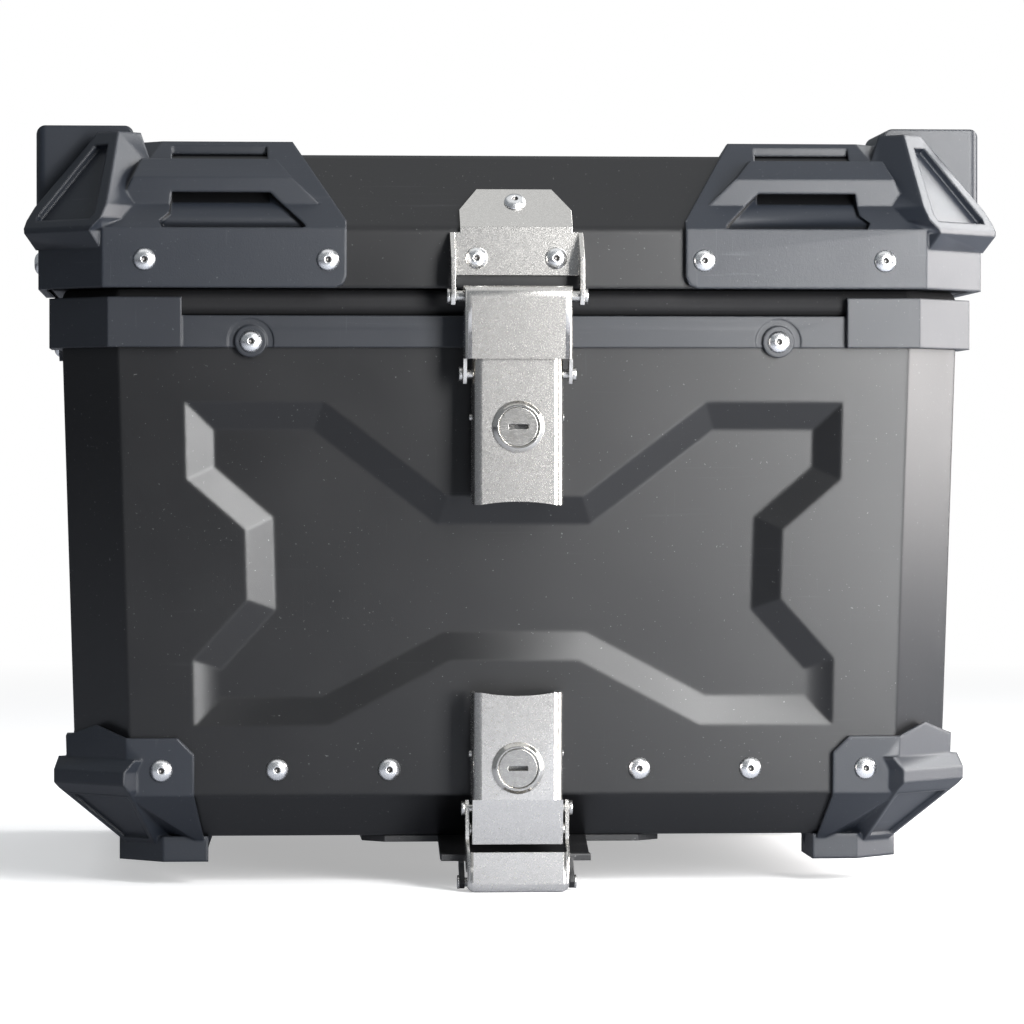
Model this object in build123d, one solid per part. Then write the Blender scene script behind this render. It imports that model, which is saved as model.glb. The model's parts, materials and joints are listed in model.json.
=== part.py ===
from build123d import *
import math
import os

# Aluminium motorcycle top case, in millimetres.
# Origin: centre of the rack plate's bolt pattern, on the plate's underside.
# +Z is up, -Y is the latch side (front), +X is to the right seen from the front.

# ---- driving dimensions ----------------------------------------------------
SHEET = 1.5                 # aluminium sheet of the body and the lid
GAP = 0.05                  # running gap between stacked pieces
SEAT = 0.15                 # rivet heads stand this far off a leaning wall

BODY_BOTTOM = 3.0           # underside of the floor
BODY_BEND = 21.7            # where the walls bend in towards the floor
BODY_MOUTH = 222.0          # top edge of the walls
MOUTH_LEVEL = 213.0         # level where the mouth half sizes are taken
MOUTH_X = 193.5
MOUTH_Y = 175.0
DRAFT = 0.0288              # wall lean, millimetres inward for each one down
CORNER = 24.0               # chamfer of the upright corners
BEVEL = 19.0                # inward step of the floor bevel
FLOOR_CORNER = 32.0         # chamfer of the floor's corners

RECESS_DEPTH = 4.5          # pressed X on each wall
RECESS_SLOPE = 11.8
SIDE_PATTERN = 0.86         # the side walls carry the X at this width

LID_BOTTOM = 238.2
LID_BEND = 263.6
LID_SLOPE = 33.4            # the lid's bevel is 45 degrees, this high and deep
LID_X = 200.0
LID_Y = 181.5
LID_CORNER = 26.0

RING_BOTTOM = 213.1
RING_TOP = 226.7
RING_BLOCK_TOP = 234.4
RING_BAND = 2.0             # how far the plain band stands off the wall
RING_BLOCK = 5.5            # how far the corner blocks stand off the wall

GUARD = 3.5                 # wall of the lid's corner guards
GUARD_CORNER = 27.8
GUARD_END = 72.3            # inner end of the front flanges
GUARD_TOP = 302.7
LOOP_FRONT = -143.0         # the side loop's posts, along Y
LOOP_REAR = -86.0
LOOP_POST = 9.0

CAP = 3.6                   # wall of the lower corner caps
CAP_END = 131.0             # inner end of a cap's front flange
CAP_TOP = 46.5              # top of the flange
CAP_PEAK = 57.0             # top of the cap on the corner's flank
FOOT = -8.0

RIVET_HEAD = 9.5            # diameter of the blind rivets' heads
RIVET_SHANK = 4.8

LEVER_HALF = 19.25          # half width of both latch levers
LINK_HALF = 23.2
BAIL_HALF = 22.0
BRACKET_HALF = 28.4
LATCH_SHEET = 1.5
PIN_R = 2.0
LOCK_BEZEL_R = 11.0
LOCK_PLUG_R = 8.5
LOCK_BODY_R = 9.5

TOP_PIVOT = (-190.6, 213.0)       # y, z of the upper lever's pivot
TOP_LINK_PIN = (-190.0, 201.6)
TOP_HOOK_PIN = (-190.0, 234.7)
TOP_FACE = -196.5                 # front of the upper lever
TOP_LOCK_Z = 179.2
TOP_END_Z = 146.1
TOP_STUD = (-184.0, 183.3)

LOW_PIVOT = (-185.9, 8.0)
LOW_BAIL_PIN = (-185.3, 17.0)
LOW_HOOK_PIN = (-185.3, -14.4)
LOW_FACE = -193.5
LOW_LOCK_Z = 34.5
LOW_END_Z = 66.5
LOW_STUD = (-181.0, 40.0)

HINGE_AXIS = (187.0, 234.5)       # y, z of the lid hinge
HINGE_HALF = 68.0
KNUCKLE_R = 4.0
HINGE_PIN_R = 1.9

PLATE = 2.8                       # rack plate thickness
PLATE_SLOT_X = 140.0              # bolt slots, centre to centre
PLATE_SLOT_Y = 70.0

LEFT, RIGHT, FRONT, REAR = -1, 1, -1, 1
ALL = 500.0                       # larger than the whole case


# ---- helpers ---------------------------------------------------------------
def polygon(plane, points):
    return plane * make_face(Polyline(points, close=True))


def along_x(points, low, high):
    """A solid from a (y, z) outline, between two values of x."""
    face = polygon(Plane.YZ.offset(low), points)
    return extrude(face, high - low, dir=(1, 0, 0))


def along_y(points, low, high):
    """A solid from an (x, z) outline, between two values of y."""
    face = polygon(Plane((0, low, 0), x_dir=(1, 0, 0), z_dir=(0, -1, 0)), points)
    return extrude(face, high - low, dir=(0, 1, 0))


def along_z(points, low, high):
    """A solid from an (x, y) outline, between two values of z."""
    face = polygon(Plane.XY.offset(low), points)
    return extrude(face, high - low, dir=(0, 0, 1))


def block(x, y, z):
    """A box from its low and high values on each axis."""
    centre = [(low + high) / 2 for low, high in (x, y, z)]
    return Pos(*centre) * Box(x[1] - x[0], y[1] - y[0], z[1] - z[0])


def rod_x(radius, place, low, high):
    """A rod along X at (y, z)."""
    y, z = place
    return Pos((low + high) / 2, y, z) * Rot(0, 90, 0) * Cylinder(radius, high - low)


def rod_y(radius, place, low, high):
    """A rod along Y at (x, z)."""
    x, z = place
    return Pos(x, (low + high) / 2, z) * Rot(90, 0, 0) * Cylinder(radius, high - low)


def octagon(half_x, half_y, corner, z):
    """The case's plan outline: a rectangle with its corners cut at 45 degrees."""
    a, b = half_x - corner, half_y - corner
    points = [(a, half_y), (half_x, b), (half_x, -b), (a, -half_y)]
    points += [(-x, -y) for x, y in points]
    return polygon(Plane.XY.offset(z), points)


def tower(*levels):
    """A solid through plan outlines given as (half_x, half_y, corner, z)."""
    return loft([octagon(*level) for level in levels], ruled=True)


def hoop(outer, inner, low, high):
    """An octagonal ring between two outlines given as (half_x, half_y, corner)."""
    return tower((*outer, low), (*outer, high)) - tower((*inner, low - 1), (*inner, high + 1))


def grown(points, distance):
    """The outline with each edge moved outward by the distance (anticlockwise points)."""
    count = len(points)
    lines = []
    for i in range(count):
        (x0, y0), (x1, y1) = points[i], points[(i + 1) % count]
        length = math.hypot(x1 - x0, y1 - y0)
        nx, ny = (y1 - y0) / length, (x0 - x1) / length
        lines.append((nx, ny, nx * x0 + ny * y0 + distance))
    moved = []
    for i in range(count):
        a, b, c = lines[i - 1]
        d, e, f = lines[i]
        det = a * e - b * d
        moved.append(((c * e - b * f) / det, (a * f - c * d) / det))
    return moved


def wall_half(z, mouth_half):
    """Half size of the body at a height."""
    return mouth_half - DRAFT * (MOUTH_LEVEL - z)


def four_corners(solid):
    """The front right piece, then its mirror images, by name of the corner."""
    front_left = mirror(solid, about=Plane.YZ)
    return {
        "front_right": solid,
        "front_left": front_left,
        "rear_right": mirror(solid, about=Plane.XZ),
        "rear_left": mirror(front_left, about=Plane.XZ),
    }


def rivet(x, y, z, direction, grip=6.0):
    """A blind rivet: domed head with the mandrel hole, and its shank."""
    r = RIVET_HEAD / 2
    dome = make_face([
        Line((0, 0), (r, 0)),
        Line((r, 0), (r, 0.5)),
        ThreePointArc((r, 0.5), (r * 0.72, 1.75), (0, 2.4)),
        Line((0, 2.4), (0, 0)),
    ])
    head = revolve(Plane.XZ * dome, Axis.Z)
    shank = Pos(0, 0, -grip / 2) * Cylinder(RIVET_SHANK / 2, grip)
    mandrel = Pos(0, 0, 1.5) * Cylinder(1.2, 3.0)
    return Plane((x, y, z), z_dir=direction) * (head + shank - mandrel)


def hole(x, y, z, direction, depth=12.0):
    """The clearance hole of a rivet, both ways from the surface."""
    return Plane((x, y, z), z_dir=direction) * Cylinder(RIVET_SHANK / 2 + 0.1, 2 * depth)


def drilled(solid, places):
    return solid - [hole(*place) for place in places]


def export(shape, name):
    export_step(shape, f"parts/{name}.step")


# ---- fastener places: (x, y, z, outward direction) -------------------------
def round_the_case(level, front_xs, side_ys, half_x, half_y):
    """The same rivets on the front and rear, and on both sides."""
    places = []
    for sign in (-1, 1):
        for x in front_xs:
            for side in (FRONT, REAR):
                places.append((sign * x, side * half_y, level, (0, side, 0)))
        for y in side_ys:
            for side in (LEFT, RIGHT):
                places.append((side * half_x, sign * y, level, (side, 0, 0)))
    return places


LID_RIVETS = round_the_case(250.1, (157.9, 80.2), (139.3, 61.6), LID_X + 3.6, LID_Y + GUARD)
RING_RIVETS = round_the_case(215.7, (112.9,), (96.0,), MOUTH_X + 3.0, MOUTH_Y + 3.0)
CAP_RIVET_Z = 32.7
CAP_RIVETS = round_the_case(
    CAP_RIVET_Z, (151.1,), (132.5,), wall_half(CAP_RIVET_Z, MOUTH_X) + CAP + SEAT,
    wall_half(CAP_RIVET_Z, MOUTH_Y) + CAP + SEAT)
WALL_RIVETS = round_the_case(
    CAP_RIVET_Z, (101.7, 53.7), (84.0, 32.0), wall_half(CAP_RIVET_Z, MOUTH_X) + SEAT,
    wall_half(CAP_RIVET_Z, MOUTH_Y) + SEAT)


def latch_places(zs):
    """The rivets that hold a latch base to the front wall."""
    return [(0, -wall_half(z, MOUTH_Y) - 2.05 - SEAT, z, (0, -1, 0)) for z in zs]


TOP_BASE_RIVETS = latch_places((160.0, 200.0))
LOW_BASE_RIVETS = latch_places((54.0, 27.0))
HINGE_XS = (-53.0, -17.0, 17.0, 53.0)
HINGE_LID_RIVETS = [(x, LID_Y + 1.85, 251.5, (0, 1, 0)) for x in HINGE_XS]
HINGE_BODY_RIVETS = [(x, MOUTH_Y + RING_BAND + 1.85, 219.0, (0, 1, 0)) for x in HINGE_XS]
TONGUE_X = 52.0
TONGUE_RIVETS = [
    (side * TONGUE_X, y, BODY_BOTTOM + 2 * SHEET + GAP, (0, 0, 1))
    for side in (LEFT, RIGHT) for y in (76.0, 88.0)
]
# the lid bracket's rivets: one on the slope, two on the skirt
BRACKET_RIVETS = [
    (0, -LID_Y + 10.4 - 1.5, LID_BEND + 10.4 + 1.5, (0, -1, 1)),
    (-17.0, -LID_Y - 2.05, 251.0, (0, -1, 0)),
    (17.0, -LID_Y - 2.05, 251.0, (0, -1, 0)),
]


# ---- pressed X on a wall ---------------------------------------------------
def x_outline():
    """The pressed X seen on the wall, anticlockwise, in (across, height)."""
    right = [
        (27.5, 79.5), (79.7, 51.7), (137.0, 51.7), (137.4, 79.8),
        (114.3, 105.4), (115.1, 135.2), (140.2, 156.9), (140.8, 190.0),
        (81.9, 190.0), (28.9, 149.5),
    ]
    left = [(-x, z) for x, z in reversed(right)]
    return right + left


def pressed_x(mouth_half, turn, width, sink):
    """The hollow of the X in one wall, moved into the wall by sink."""
    lean = math.atan(DRAFT)
    outward = (0, -math.cos(lean), -math.sin(lean))
    plane = Plane((0, -wall_half(0, mouth_half), 0), x_dir=(1, 0, 0), z_dir=outward)
    base = [(x * width, z) for x, z in x_outline()]
    out = 1.0
    slope = RECESS_SLOPE / RECESS_DEPTH
    mouth = polygon(plane.offset(out - sink), grown(base, out * slope))
    bottom = polygon(plane.offset(-RECESS_DEPTH - sink), grown(base, -RECESS_SLOPE))
    return Rot(0, 0, turn) * loft([mouth, bottom], ruled=True)


def all_pressings(sink):
    return [
        pressed_x(MOUTH_Y, 0, 1.0, sink),
        pressed_x(MOUTH_Y, 180, 1.0, sink),
        pressed_x(MOUTH_X, 90, SIDE_PATTERN, sink),
        pressed_x(MOUTH_X, -90, SIDE_PATTERN, sink),
    ]


# ---- body ------------------------------------------------------------------
def body_levels(inset, bottom, top):
    """Plan outlines of the body, inset by a sheet or moved out by a cover."""
    def level(z, floor):
        x = wall_half(z, MOUTH_X) - inset
        y = wall_half(z, MOUTH_Y) - inset
        if floor:
            reach = BEVEL * (BODY_BEND - bottom) / (BODY_BEND - BODY_BOTTOM)
            return (x - reach, y - reach, FLOOR_CORNER - 0.6 * inset, z)
        return (x, y, CORNER - 0.6 * inset, z)
    return level(bottom, True), level(BODY_BEND, False), level(top, False)


def body_shell():
    outer = tower(*body_levels(0, BODY_BOTTOM, BODY_MOUTH)) - all_pressings(0)
    inner = tower(*body_levels(SHEET, BODY_BOTTOM + SHEET, BODY_MOUTH + 1))
    inner -= all_pressings(SHEET)
    places = RING_RIVETS + CAP_RIVETS + WALL_RIVETS + TOP_BASE_RIVETS + LOW_BASE_RIVETS
    return drilled(outer - inner, places + HINGE_BODY_RIVETS + TONGUE_RIVETS)


def floor_pan():
    bottom = BODY_BOTTOM + SHEET
    outer = tower(*body_levels(SHEET + GAP, bottom, 42))
    inner = tower(*body_levels(2 * SHEET + GAP, bottom + SHEET, 43))
    return drilled(outer - inner, CAP_RIVETS + WALL_RIVETS + LOW_BASE_RIVETS + TONGUE_RIVETS)


def floor_mat():
    low = BODY_BOTTOM + 2 * SHEET
    mat = tower((164, 145.5, 26, low), (167, 148.5, 26, low + 4))
    return mat - [Pos(x, y, low) * Cylinder(5.5, 6) for x, y, z, direction in TONGUE_RIVETS]


def mouth_ring():
    wall_x, wall_y = MOUTH_X + 0.35, MOUTH_Y + 0.35
    leg_x, leg_y = MOUTH_X - 2.0, MOUTH_Y - 2.0
    band = (MOUTH_X + RING_BAND, MOUTH_Y + RING_BAND, CORNER)
    inside = (leg_x - 2.5, leg_y - 2.5, CORNER - 2.5)
    wall = (wall_x, wall_y, CORNER)
    leg = (leg_x, leg_y, CORNER - 1.2)
    ring = hoop(band, wall, RING_BOTTOM, BODY_MOUTH + 0.3)
    ring += hoop(band, inside, BODY_MOUTH + 0.3, RING_TOP)
    ring += hoop(leg, inside, 208, BODY_MOUTH + 0.3)
    face = (MOUTH_X + RING_BLOCK, MOUTH_Y + RING_BLOCK, CORNER + 1.4)
    near = (MOUTH_X + 0.5, MOUTH_Y + 0.5, CORNER)
    thick = hoop(face, near, RING_BOTTOM, RING_BLOCK_TOP)
    keep = block((142.2, 220), (-220, -124), (200, 240))
    ring += [thick & corner for corner in four_corners(keep).values()]
    upper = block((-ALL, ALL), (-ALL, ALL), (RING_BOTTOM, 240))
    grooves = []
    bosses = []
    for x, y, z, direction in RING_RIVETS:
        spot = Plane((x, y, z), z_dir=direction)
        grooves.append(spot * Pos(0, 0, -0.7) * Cylinder(9.8, 1.4) & upper)
        bosses.append(spot * Pos(0, 0, -1.3) * Cylinder(6.8, 2.6))
    ring = ring - grooves + bosses
    return drilled(ring, RING_RIVETS + HINGE_BODY_RIVETS)


def mouth_seal():
    low, high = RING_TOP + GAP, LID_BOTTOM - 0.1
    middle = (low + high) / 2
    out_x, out_y = MOUTH_X + 0.2, MOUTH_Y + 0.2
    width = 9.0
    bulge = 1.8
    outer = loft([
        octagon(out_x - bulge, out_y - bulge, CORNER - 1, low),
        octagon(out_x, out_y, CORNER, middle - 2.5),
        octagon(out_x, out_y, CORNER, middle + 2.5),
        octagon(out_x - bulge, out_y - bulge, CORNER - 1, high),
    ], ruled=True)
    inner = loft([
        octagon(out_x - width + bulge, out_y - width + bulge, CORNER - 5, low - 0.5),
        octagon(out_x - width, out_y - width, CORNER - 6, middle - 2.5),
        octagon(out_x - width, out_y - width, CORNER - 6, middle + 2.5),
        octagon(out_x - width + bulge, out_y - width + bulge, CORNER - 5, high + 0.5),
    ], ruled=True)
    return outer - inner


# ---- lower corner caps -----------------------------------------------------
def corner_frame(half_x, half_y, corner):
    """A plane upright on the 45 degree corner face: x along the face, y up, z outward."""
    x, y = half_x - corner / 2, half_y - corner / 2
    return Plane((x, -y, 0), x_dir=(1, 1, 0), z_dir=(1, -1, 0))


def cap_outline(end, shoulder):
    """A cap's outline on the front, or on the side, by distance from the middle."""
    return [
        (end + 1, -1), (end + 1.5, 0), (end + 6, 21), (end + 6, CAP_TOP - 7), (end + 13, CAP_TOP),
        (shoulder, CAP_TOP), (shoulder + 26, CAP_PEAK), (230, CAP_PEAK), (230, -1),
    ]


def corner_wedge(frame):
    """The bump across a cap's corner and the slanted face below it."""
    profile = [(0.1, 37.5), (4.8, 32.0), (4.8, 26.5), (-28.5, -2.5), (-34.8, FOOT), (-60, FOOT), (-60, 37.5)]
    side_view = Plane(frame.origin - frame.x_dir * 60, x_dir=frame.z_dir, z_dir=-frame.x_dir)
    wedge = extrude(polygon(side_view, profile), -120)
    half = [(23.5, 37.5), (21.5, 32), (21.5, 24), (8.5, -2), (6, FOOT)]
    outline = [(-x, z) for x, z in half] + half[::-1]
    return wedge & extrude(polygon(frame, outline), 200, both=True)


def corner_field(frame):
    """The sunk field inside the slanted face's narrow rim."""
    run, rise = 33.3, 29.0
    middle = frame.origin + frame.z_dir * -11.8 + Vector(0, 0, 12.0)
    face = Plane(middle, x_dir=frame.x_dir, z_dir=frame.z_dir * rise - Vector(0, 0, run))
    outline = [(-8.0, -15.5), (8.0, -15.5), (16.8, 11.0), (16.8, 14.0), (-16.8, 14.0), (-16.8, 11.0)]
    return extrude(polygon(face.offset(-1.5), outline), 10)


def lower_cap():
    cover = tower(*body_levels(-CAP, -0.5, 60))
    inside = tower(*body_levels(-0.03, BODY_BOTTOM, 61))
    side_end = CAP_END - (MOUTH_X - MOUTH_Y)
    front = along_y(cap_outline(CAP_END, 166), -ALL, 0)
    side = along_x([(-y, z) for y, z in cap_outline(side_end, 148)], 0, ALL)
    half_x, half_y = wall_half(31.5, MOUTH_X) + CAP, wall_half(31.5, MOUTH_Y) + CAP
    frame = corner_frame(half_x, half_y, CORNER + 0.6 * CAP)
    foot = along_z([
        (CAP_END, -151.5), (150.5, -151.5), (169.5, -132.5), (169.5, -side_end), (CAP_END, -side_end),
    ], FOOT, BODY_BOTTOM - 0.03)
    cap = (cover - inside) & front & side
    cap = cap + corner_wedge(frame) + foot - corner_field(frame) - inside
    near = [place for place in CAP_RIVETS if place[0] > 0 and place[1] < 0]
    return drilled(cap, near)


# ---- lid -------------------------------------------------------------------
def lid_levels(inset, low):
    """Plan outlines of the lid, inset by a sheet."""
    top = LID_BEND + LID_SLOPE
    lean = 0.414 * inset
    return (
        (LID_X - inset, LID_Y - inset, LID_CORNER - 0.6 * inset, low),
        (LID_X - inset, LID_Y - inset, LID_CORNER - 0.6 * inset, LID_BEND - lean),
        (LID_X - LID_SLOPE - lean, LID_Y - LID_SLOPE - lean, 12.0, top - inset),
    )


def lid_field(sink):
    """The shallow pressed field in the lid's top."""
    top = LID_BEND + LID_SLOPE - sink
    return tower((112, 93, 22, top - 2.5), (123, 104, 24, top + 1))


def lid_shell():
    outer = tower(*lid_levels(0, LID_BOTTOM)) - lid_field(0)
    inner = tower(*lid_levels(SHEET, LID_BOTTOM - 1)) - lid_field(SHEET)
    return drilled(outer - inner, LID_RIVETS + BRACKET_RIVETS + HINGE_LID_RIVETS)


def lid_rim():
    """The frame inside the lid that closes on the seal."""
    outer = (LID_X - SHEET - GAP, LID_Y - SHEET - GAP, LID_CORNER - 1)
    leg = (LID_X - SHEET - 2, LID_Y - SHEET - 2, LID_CORNER - 2)
    opening = (LID_X - 21, LID_Y - 21, LID_CORNER - 10)
    rim = hoop(outer, opening, LID_BOTTOM + 0.2, LID_BOTTOM + 3.2)
    rim += hoop(outer, leg, LID_BOTTOM + 3.2, 258)
    return drilled(rim, LID_RIVETS + BRACKET_RIVETS[1:] + HINGE_LID_RIVETS)


def lid_pad():
    """The soft lining under the lid's top."""
    top = LID_BEND + LID_SLOPE - 2.5 - SHEET - 0.1
    return tower((150, 132, 14, top - 4), (154, 136, 14, top))


# ---- lid corner guards -----------------------------------------------------
def side_of(points):
    """A front view outline moved to the same distances from the corner on the side."""
    shift = LID_X + 3.6 - (LID_Y + GUARD)
    return [(-(x - shift), z) for x, z in points]


def guard_cover():
    """The wall that follows the lid's skirt and slope round the corner."""
    x, y = LID_X + 3.6, LID_Y + GUARD
    rise = GUARD_TOP - LID_BEND
    cover = tower((x, y, GUARD_CORNER, LID_BOTTOM), (x, y, GUARD_CORNER, LID_BEND),
                  (x - rise, y - rise, 14.0, GUARD_TOP))
    inside = tower(*lid_levels(0, LID_BOTTOM - 1))
    hollow = tower((158.6, 140.0, 13, 290), (158.6, 140.0, 13, 320))
    outline = [
        (GUARD_END, LID_BOTTOM + 5), (GUARD_END + 1.5, LID_BOTTOM + 1.5), (GUARD_END + 5, LID_BOTTOM),
        (230, LID_BOTTOM), (230, GUARD_TOP), (94.5, GUARD_TOP), (GUARD_END, 267),
    ]
    keep = along_y(outline, -ALL, 0) & along_x(side_of(outline), 0, ALL)
    return (cover - inside - hollow) & keep


def guard_bar():
    """The strap bar of the front flange, with the room behind it cut free."""
    face_y = -174.4
    profile = [(face_y, 273.8), (face_y, 285.5), (-165.9, 294.0), (-154, 294.0), (-154, 291)]
    ends = [(81.5, 273), (95.1, 285.7), (102, 294), (159.4, 294), (166.2, 279), (164.5, 273)]
    return along_x(profile, 60, 200) & along_y(ends, -ALL, 0)


def guard_slot():
    """The window under the bar and the slot behind it, down to the lid's slope."""
    window = along_y([
        (89.5, 264.2), (91.0, 266), (104.6, 279.3), (146.3, 279.3), (147.6, 270.0),
        (151.8, 266.5), (150.4, 263.6), (91.5, 263.6),
    ], -ALL, 0)
    passage = along_x([
        (-190, 263.7), (-190, 279.3), (-170.7, 279.3), (-159.5, 290.5), (-159.5, 310),
        (-147.9, 310), (-147.9, 297.2), (-181.4, 263.7),
    ], 60, 200)
    below = along_x([
        (-190, 263.7), (-190, 279.3), (-170.7, 279.3), (-159.5, 290.5), (-159.5, 286.3), (-181.4, 263.7),
    ], 60, 200)
    throat = along_y([(104.6, 275), (106, 310), (146.5, 310), (146.3, 275)], -ALL, 0)
    return (below & window) + (passage & throat)


def guard_wing():
    """The flared corner plate with its sunk triangle."""
    frame = corner_frame(LID_X + 3.6, LID_Y + GUARD, GUARD_CORNER)
    up = Plane(frame.origin - frame.x_dir * 60, x_dir=frame.z_dir, z_dir=-frame.x_dir)
    profile = [(0.0, 255.0), (6.5, 262.0), (6.3, 264.0), (-22.5, 306.0), (-36.0, 306.0),
               (-36.0, 290.0), (-14.0, 262.0), (-14.0, 255.0)]
    wing = extrude(polygon(up, profile), -120)
    outline = [(-18.0, 250), (-18.5, 262), (-22.8, 267.5), (-22.0, 273.5), (-6.2, 306),
               (6.2, 306), (22.0, 273.5), (22.8, 267.5), (21.5, 262), (21.0, 250)]
    wing &= extrude(polygon(frame, outline), 200, both=True)
    face = Plane(frame.origin + frame.z_dir * 6.3 + Vector(0, 0, 264),
                 x_dir=frame.x_dir, z_dir=frame.z_dir * 42.0 + Vector(0, 0, 28.8))
    triangle = [(-16.5, 4.0), (16.5, 4.0), (17.5, 7.0), (4.0, 44.0), (-4.0, 44.0), (-17.5, 7.0)]
    return wing - extrude(polygon(face.offset(-3.2), triangle), 10)


def loop_openings():
    """The well behind the side loop's bar and the window under it."""
    y = (LOOP_FRONT + LOOP_POST, LOOP_REAR - LOOP_POST)
    return block((178, 196.5), y, (262, 320)) + block((170, 215), y, (270, 289))


def guard_side_loop():
    """The tall tie-down loop on the flank of the lid."""
    loop = block((163, 205), (LOOP_FRONT, LOOP_REAR), (266, 309.6))
    loop -= along_y([(150, 250), (150, 297), (163.5, 297), (197, 263.5), (197, 250)], -ALL, 0)
    rounded = [edge for edge in loop.edges().filter_by(Axis.Y)
               if edge.center().Z > 305]
    rounded += [edge for edge in loop.edges().filter_by(Axis.Z) if edge.center().X > 200]
    return fillet(rounded, 4.0) - loop_openings()


def lid_guard():
    lid = tower(*lid_levels(0, LID_BOTTOM - 1))
    keep_off = tower((158.6, 140.0, 13, 290), (158.6, 140.0, 13, 297))
    guard = guard_cover() + guard_bar() + guard_wing()
    guard = guard - guard_slot() - lid - loop_openings()
    guard = guard + (guard_side_loop() - lid)
    near = [place for place in LID_RIVETS if place[0] > 0 and place[1] < 0]
    return drilled(guard - keep_off, near)


# ---- latch hardware --------------------------------------------------------
def channel(half, face, back, low, high, corner=4.0):
    """A U channel open to the rear, standing on end."""
    outer = block((-half, half), (face, back), (low, high))
    front = outer.edges().filter_by(Axis.Z).group_by(Axis.Y)[0]
    outer = fillet(front, corner)
    t = LATCH_SHEET
    inner = block((-half + t, half - t), (face + t, back + 1), (low - 1, high + 1))
    front = inner.edges().filter_by(Axis.Z).group_by(Axis.Y)[0]
    return outer - fillet(front, corner - t)


def scoop(z, up):
    """The shallow hollow in a lever's free end, for a finger."""
    radius, sink = 88.0, 1.4
    centre = z + up * (radius - sink)
    return rod_y(radius, (0, centre), -220, -150)


def pin(place, radius, grip, head_r, head):
    """A cross pin: a shaft through the ears and a low head outside each of them."""
    shaft = rod_x(radius, place, -grip - head, grip + head)
    heads = [rod_x(head_r, place, *sorted((side * grip, side * (grip + head)))) for side in (LEFT, RIGHT)]
    return shaft + heads


def studs(place):
    """The two short studs in a lever's flanges."""
    return [rod_x(1.45, place, *sorted((side * 16.6, side * 20.2))) for side in (LEFT, RIGHT)]


def top_lever():
    lever = channel(LEVER_HALF, TOP_FACE, -180, TOP_END_Z, 217.0)
    lever -= scoop(TOP_END_Z, -1) & block((-15.5, 15.5), (-220, -150), (140, 160))
    lever -= block((-30, 30), (-186.2, -170), (196, 230))
    lever -= rod_y(LOCK_BODY_R + 0.05, (0, TOP_LOCK_Z), -210, -185)
    lever -= rod_x(PIN_R, TOP_PIVOT, -40, 40)
    lever -= rod_x(PIN_R, TOP_LINK_PIN, -40, 40)
    lever -= rod_x(1.5, TOP_STUD, -40, 40)
    return lever


def top_link():
    t = LATCH_SHEET
    face = TOP_FACE - 3.0
    top = TOP_HOOK_PIN[1] + 2.4 + 0.3 + t
    bend = 5.0
    sheet = make_face([
        Line((face, 207.9), (face, top - bend)),
        ThreePointArc((face, top - bend), (face + bend * 0.293, top - bend * 0.293), (face + bend, top)),
        Line((face + bend, top), (-187.6, top)),
        Line((-187.6, top), (-187.6, top - t)),
        Line((-187.6, top - t), (face + bend, top - t)),
        ThreePointArc((face + bend, top - t),
                      (face + t + (bend - t) * 0.293, top - t - (bend - t) * 0.293),
                      (face + t, top - bend)),
        Line((face + t, top - bend), (face + t, 207.9)),
        Line((face + t, 207.9), (face, 207.9)),
    ])
    plate = extrude(Plane.YZ.offset(-LINK_HALF) * sheet, 2 * LINK_HALF)
    ear = [(face, 207.9), (face, 230), (-196.5, 229), (-193.5, 216), (-186.6, 206.5),
           (-186.6, 199.4), (-188.6, 197.4), (-192, 197.4), (-194.5, 200), (-195.5, 207.9)]
    flanges = [along_x(ear, *sorted((side * LINK_HALF, side * (LINK_HALF - t)))) for side in (LEFT, RIGHT)]
    mask = block((-LINK_HALF, LINK_HALF), (face, -180), (190, 245))
    front = mask.edges().filter_by(Axis.Z).group_by(Axis.Y)[0]
    link = (plate + flanges) & fillet(front, 3.5)
    return link - rod_x(PIN_R, TOP_LINK_PIN, -40, 40)


def latch_base(profile, plate_low, plate_high, place, rivets):
    """A base on the case's wall: a plate and two upright ears that carry the pivot."""
    ears = [along_x(profile, *sorted((side * 13.5, side * 15.5))) for side in (LEFT, RIGHT)]
    back = [wall_half(z, MOUTH_Y) + 0.03 for z in (plate_low, plate_high)]
    plate = along_x([
        (-back[0], plate_low), (-back[1], plate_high),
        (-back[1] - 2, plate_high), (-back[0] - 2, plate_low),
    ], -15.5, 15.5)
    base = plate + ears
    base -= rod_x(PIN_R, place, -40, 40)
    return drilled(base, rivets)


def top_latch_base():
    z0, z1 = 150.0, 211.0
    wall = wall_half(z0, MOUTH_Y) + 0.03, wall_half(z1, MOUTH_Y) + 0.03
    profile = [(-wall[0], z0), (-wall[0] - 6, z0), (-183.5, 162), (-183.5, 196), (-186.6, 199),
               (-186.6, 204.8), (-192.5, 209.2), (-194.4, 211.2), (-194.4, 214.5), (-192.5, 216.7),
               (-188.6, 216.7), (-185.5, 214.5), (-179.5, 212.5), (-wall[1], z1)]
    base = latch_base(profile, z0, z1, TOP_PIVOT, TOP_BASE_RIVETS)
    strike = block((-20, 20), (-181.6, -177.6), (TOP_LOCK_Z - 10.4, TOP_LOCK_Z + 4.5))
    return base - strike


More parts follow.
